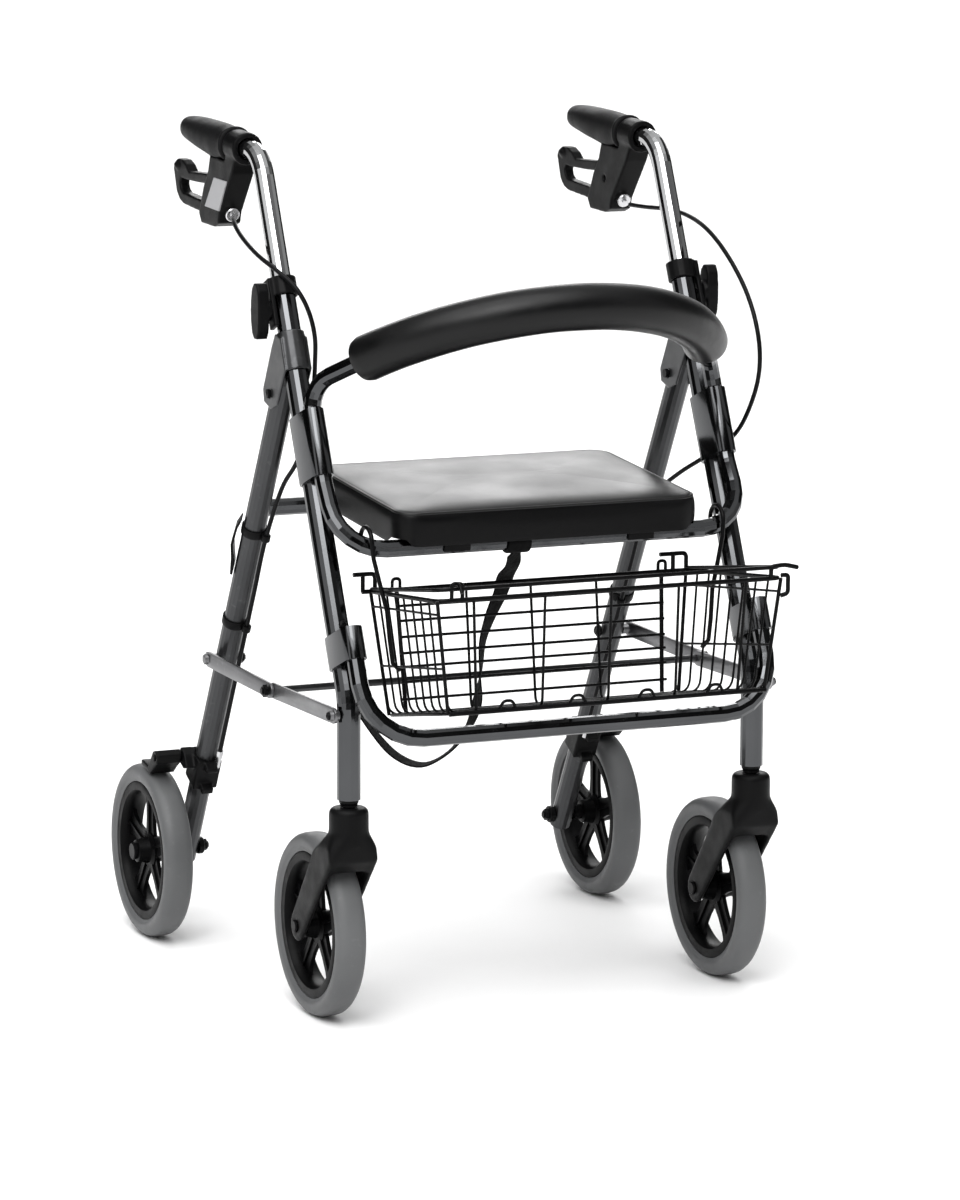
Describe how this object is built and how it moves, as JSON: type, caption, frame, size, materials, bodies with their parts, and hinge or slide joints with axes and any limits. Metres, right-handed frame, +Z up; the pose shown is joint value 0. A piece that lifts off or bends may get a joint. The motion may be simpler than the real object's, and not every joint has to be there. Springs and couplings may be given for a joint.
{
  "type": "rollator walker",
  "caption": "Folding wheeled walking frame with a flip-up padded seat, hoop backrest, hanging wire basket, height-adjustable handles, loop brakes, swivelling front casters and rear wheels.",
  "frame": {"origin": "centre of the overall length and width, on the floor", "axes": "+Z up, -Y the direction of travel (casters and basket), +Y towards the user, +X the user's left"},
  "size_m": [0.6108, 0.742, 0.9461],
  "materials": {
    "gloss_frame": "glossy dark lacquer on tube",
    "satin_frame": "satin dark grey lacquer",
    "bright_steel": "satin grey plating",
    "black_steel": "black coating on wire and fixings",
    "black_plastic": "fine-grained moulded plastic",
    "grip_rubber": "soft moulded grip rubber",
    "foam": "closed-cell foam sleeve with a smooth skin",
    "vinyl": "padded black vinyl",
    "tyre": "grey soft tread",
    "webbing": "woven flat webbing",
    "cable_sheath": "smooth cable sheath"
  },
  "bodies": {
    "rear_frame": {"rear_leg_left": "satin_frame", "rear_leg_right": "satin_frame", "rear_seat_bar": "gloss_frame", "rear_axle_left": "black_steel", "rear_axle_right": "black_steel", "brake_bracket_left": "black_plastic", "brake_bracket_right": "black_plastic"},
    "front_frame": {"front_leg_left": "gloss_frame", "front_leg_right": "gloss_frame", "hinge_bracket_left": "satin_frame", "hinge_bracket_right": "satin_frame", "hinge_pin_left": "black_steel", "hinge_pin_right": "black_steel", "upper_socket_left": "satin_frame", "upper_socket_right": "satin_frame", "lower_socket_left": "satin_frame", "lower_socket_right": "satin_frame", "clamp_collar_left": "black_plastic", "clamp_collar_right": "black_plastic", "caster_stem_left": "bright_steel", "caster_stem_right": "bright_steel", "brake_cable_left": "cable_sheath", "brake_cable_right": "cable_sheath", "seat_front_bar": "gloss_frame", "backrest_tube": "gloss_frame", "backrest_pad": "foam", "basket_support_bar": "gloss_frame", "fold_strap": "webbing"},
    "brace_front": {"brace_front_left": "bright_steel", "brace_front_right": "bright_steel", "cross_rod": "satin_frame"},
    "brace_rear": {"brace_rear_left": "bright_steel", "brace_rear_right": "bright_steel"},
    "seat": {"seat_pad": "vinyl", "seat_board": "black_plastic"},
    "basket": {"basket": "black_steel"},
    "handle_left": {"handle_tube_left": "gloss_frame", "grip_left": "grip_rubber", "brake_housing_left": "black_plastic"},
    "knob_left": {"knob_left": "black_plastic"},
    "brake_lever_left": {"brake_lever_left": "black_plastic"},
    "brake_shoe_left": {"brake_shoe_left": "black_plastic"},
    "caster_left": {"caster_fork_left": "black_plastic", "front_axle_left": "black_steel"},
    "front_wheel_left": {"front_tyre_left": "tyre", "front_hub_left": "black_plastic"},
    "rear_wheel_left": {"rear_tyre_left": "tyre", "rear_hub_left": "black_plastic"},
    "handle_right": {"handle_tube_right": "gloss_frame", "grip_right": "grip_rubber", "brake_housing_right": "black_plastic"},
    "knob_right": {"knob_right": "black_plastic"},
    "brake_lever_right": {"brake_lever_right": "black_plastic"},
    "brake_shoe_right": {"brake_shoe_right": "black_plastic"},
    "caster_right": {"caster_fork_right": "black_plastic", "front_axle_right": "black_steel"},
    "front_wheel_right": {"front_tyre_right": "tyre", "front_hub_right": "black_plastic"},
    "rear_wheel_right": {"rear_tyre_right": "tyre", "rear_hub_right": "black_plastic"}
  },
  "joints": [
    {"name": "fold", "type": "hinge", "parent": "rear_frame", "child": "front_frame", "pos_m": [0, -0.038, 0.665], "axis": [1, 0, 0], "range_deg": [0, 22], "deforming": ["brake_cable_left", "brake_cable_right", "fold_strap"]},
    {"name": "brace_front_turn", "type": "hinge", "parent": "front_frame", "child": "brace_front", "pos_m": [0, -0.23, 0.346], "axis": [1, 0, 0], "range_deg": [0, 44]},
    {"name": "brace_rear_turn", "type": "hinge", "parent": "rear_frame", "child": "brace_rear", "pos_m": [0, 0.13756, 0.344], "axis": [-1, 0, 0], "range_deg": [0, 38]},
    {"name": "seat_flip", "type": "hinge", "parent": "front_frame", "child": "seat", "pos_m": [0, -0.203, 0.516], "axis": [1, 0, 0], "range_deg": [0, 60]},
    {"name": "basket_swing", "type": "hinge", "parent": "front_frame", "child": "basket", "pos_m": [0, -0.1984, 0.5235], "axis": [-1, 0, 0], "range_deg": [0, 20]},
    {"name": "handle_height_left", "type": "slide", "parent": "front_frame", "child": "handle_left", "axis": [0, 0.4147, 0.91], "range_m": [-0.1, 0.05], "deforming": ["brake_cable_left"]},
    {"name": "knob_turn_left", "type": "hinge", "parent": "front_frame", "child": "knob_left", "pos_m": [0.238, -0.04699, 0.756], "axis": [1, 0, 0], "range_deg": [0, 360]},
    {"name": "brake_squeeze_left", "type": "hinge", "parent": "handle_left", "child": "brake_lever_left", "pos_m": [0.238, 0.14, 0.868], "axis": [1, 0, 0], "range_deg": [0, 7], "stiffness_Nm_per_rad": 6, "springref_deg": -2.86},
    {"name": "brake_shoe_turn_left", "type": "hinge", "parent": "rear_frame", "child": "brake_shoe_left", "pos_m": [0.281, 0.217, 0.219], "axis": [-1, 0, 0], "range_deg": [0, 2]},
    {"name": "caster_swivel_left", "type": "hinge", "parent": "front_frame", "child": "caster_left", "pos_m": [0.238, -0.227, 0.225], "axis": [0, 0, 1], "continuous": true},
    {"name": "front_wheel_spin_left", "type": "hinge", "parent": "caster_left", "child": "front_wheel_left", "pos_m": [0.238, -0.143, 0.1], "axis": [1, 0, 0], "continuous": true},
    {"name": "rear_wheel_spin_left", "type": "hinge", "parent": "rear_frame", "child": "rear_wheel_left", "pos_m": [0.281, 0.271, 0.1], "axis": [1, 0, 0], "continuous": true},
    {"name": "handle_height_right", "type": "slide", "parent": "front_frame", "child": "handle_right", "axis": [0, 0.4147, 0.91], "range_m": [-0.1, 0.05], "deforming": ["brake_cable_right"]},
    {"name": "knob_turn_right", "type": "hinge", "parent": "front_frame", "child": "knob_right", "pos_m": [-0.238, -0.04699, 0.756], "axis": [1, 0, 0], "range_deg": [0, 360]},
    {"name": "brake_squeeze_right", "type": "hinge", "parent": "handle_right", "child": "brake_lever_right", "pos_m": [-0.238, 0.14, 0.868], "axis": [1, 0, 0], "range_deg": [0, 7], "stiffness_Nm_per_rad": 6, "springref_deg": -2.86},
    {"name": "brake_shoe_turn_right", "type": "hinge", "parent": "rear_frame", "child": "brake_shoe_right", "pos_m": [-0.281, 0.217, 0.219], "axis": [-1, 0, 0], "range_deg": [0, 2]},
    {"name": "caster_swivel_right", "type": "hinge", "parent": "front_frame", "child": "caster_right", "pos_m": [-0.238, -0.227, 0.225], "axis": [0, 0, 1], "continuous": true},
    {"name": "front_wheel_spin_right", "type": "hinge", "parent": "caster_right", "child": "front_wheel_right", "pos_m": [-0.238, -0.143, 0.1], "axis": [1, 0, 0], "continuous": true},
    {"name": "rear_wheel_spin_right", "type": "hinge", "parent": "rear_frame", "child": "rear_wheel_right", "pos_m": [-0.281, 0.271, 0.1], "axis": [1, 0, 0], "continuous": true}
  ],
  "couplings": [
    {"joint": "brace_front_turn", "follows": "fold", "ratio": 1.9366},
    {"joint": "brace_rear_turn", "follows": "fold", "ratio": 1.6548},
    {"joint": "brake_shoe_turn_left", "follows": "brake_squeeze_left", "ratio": 0.25},
    {"joint": "brake_shoe_turn_right", "follows": "brake_squeeze_right", "ratio": 0.25}
  ]
}
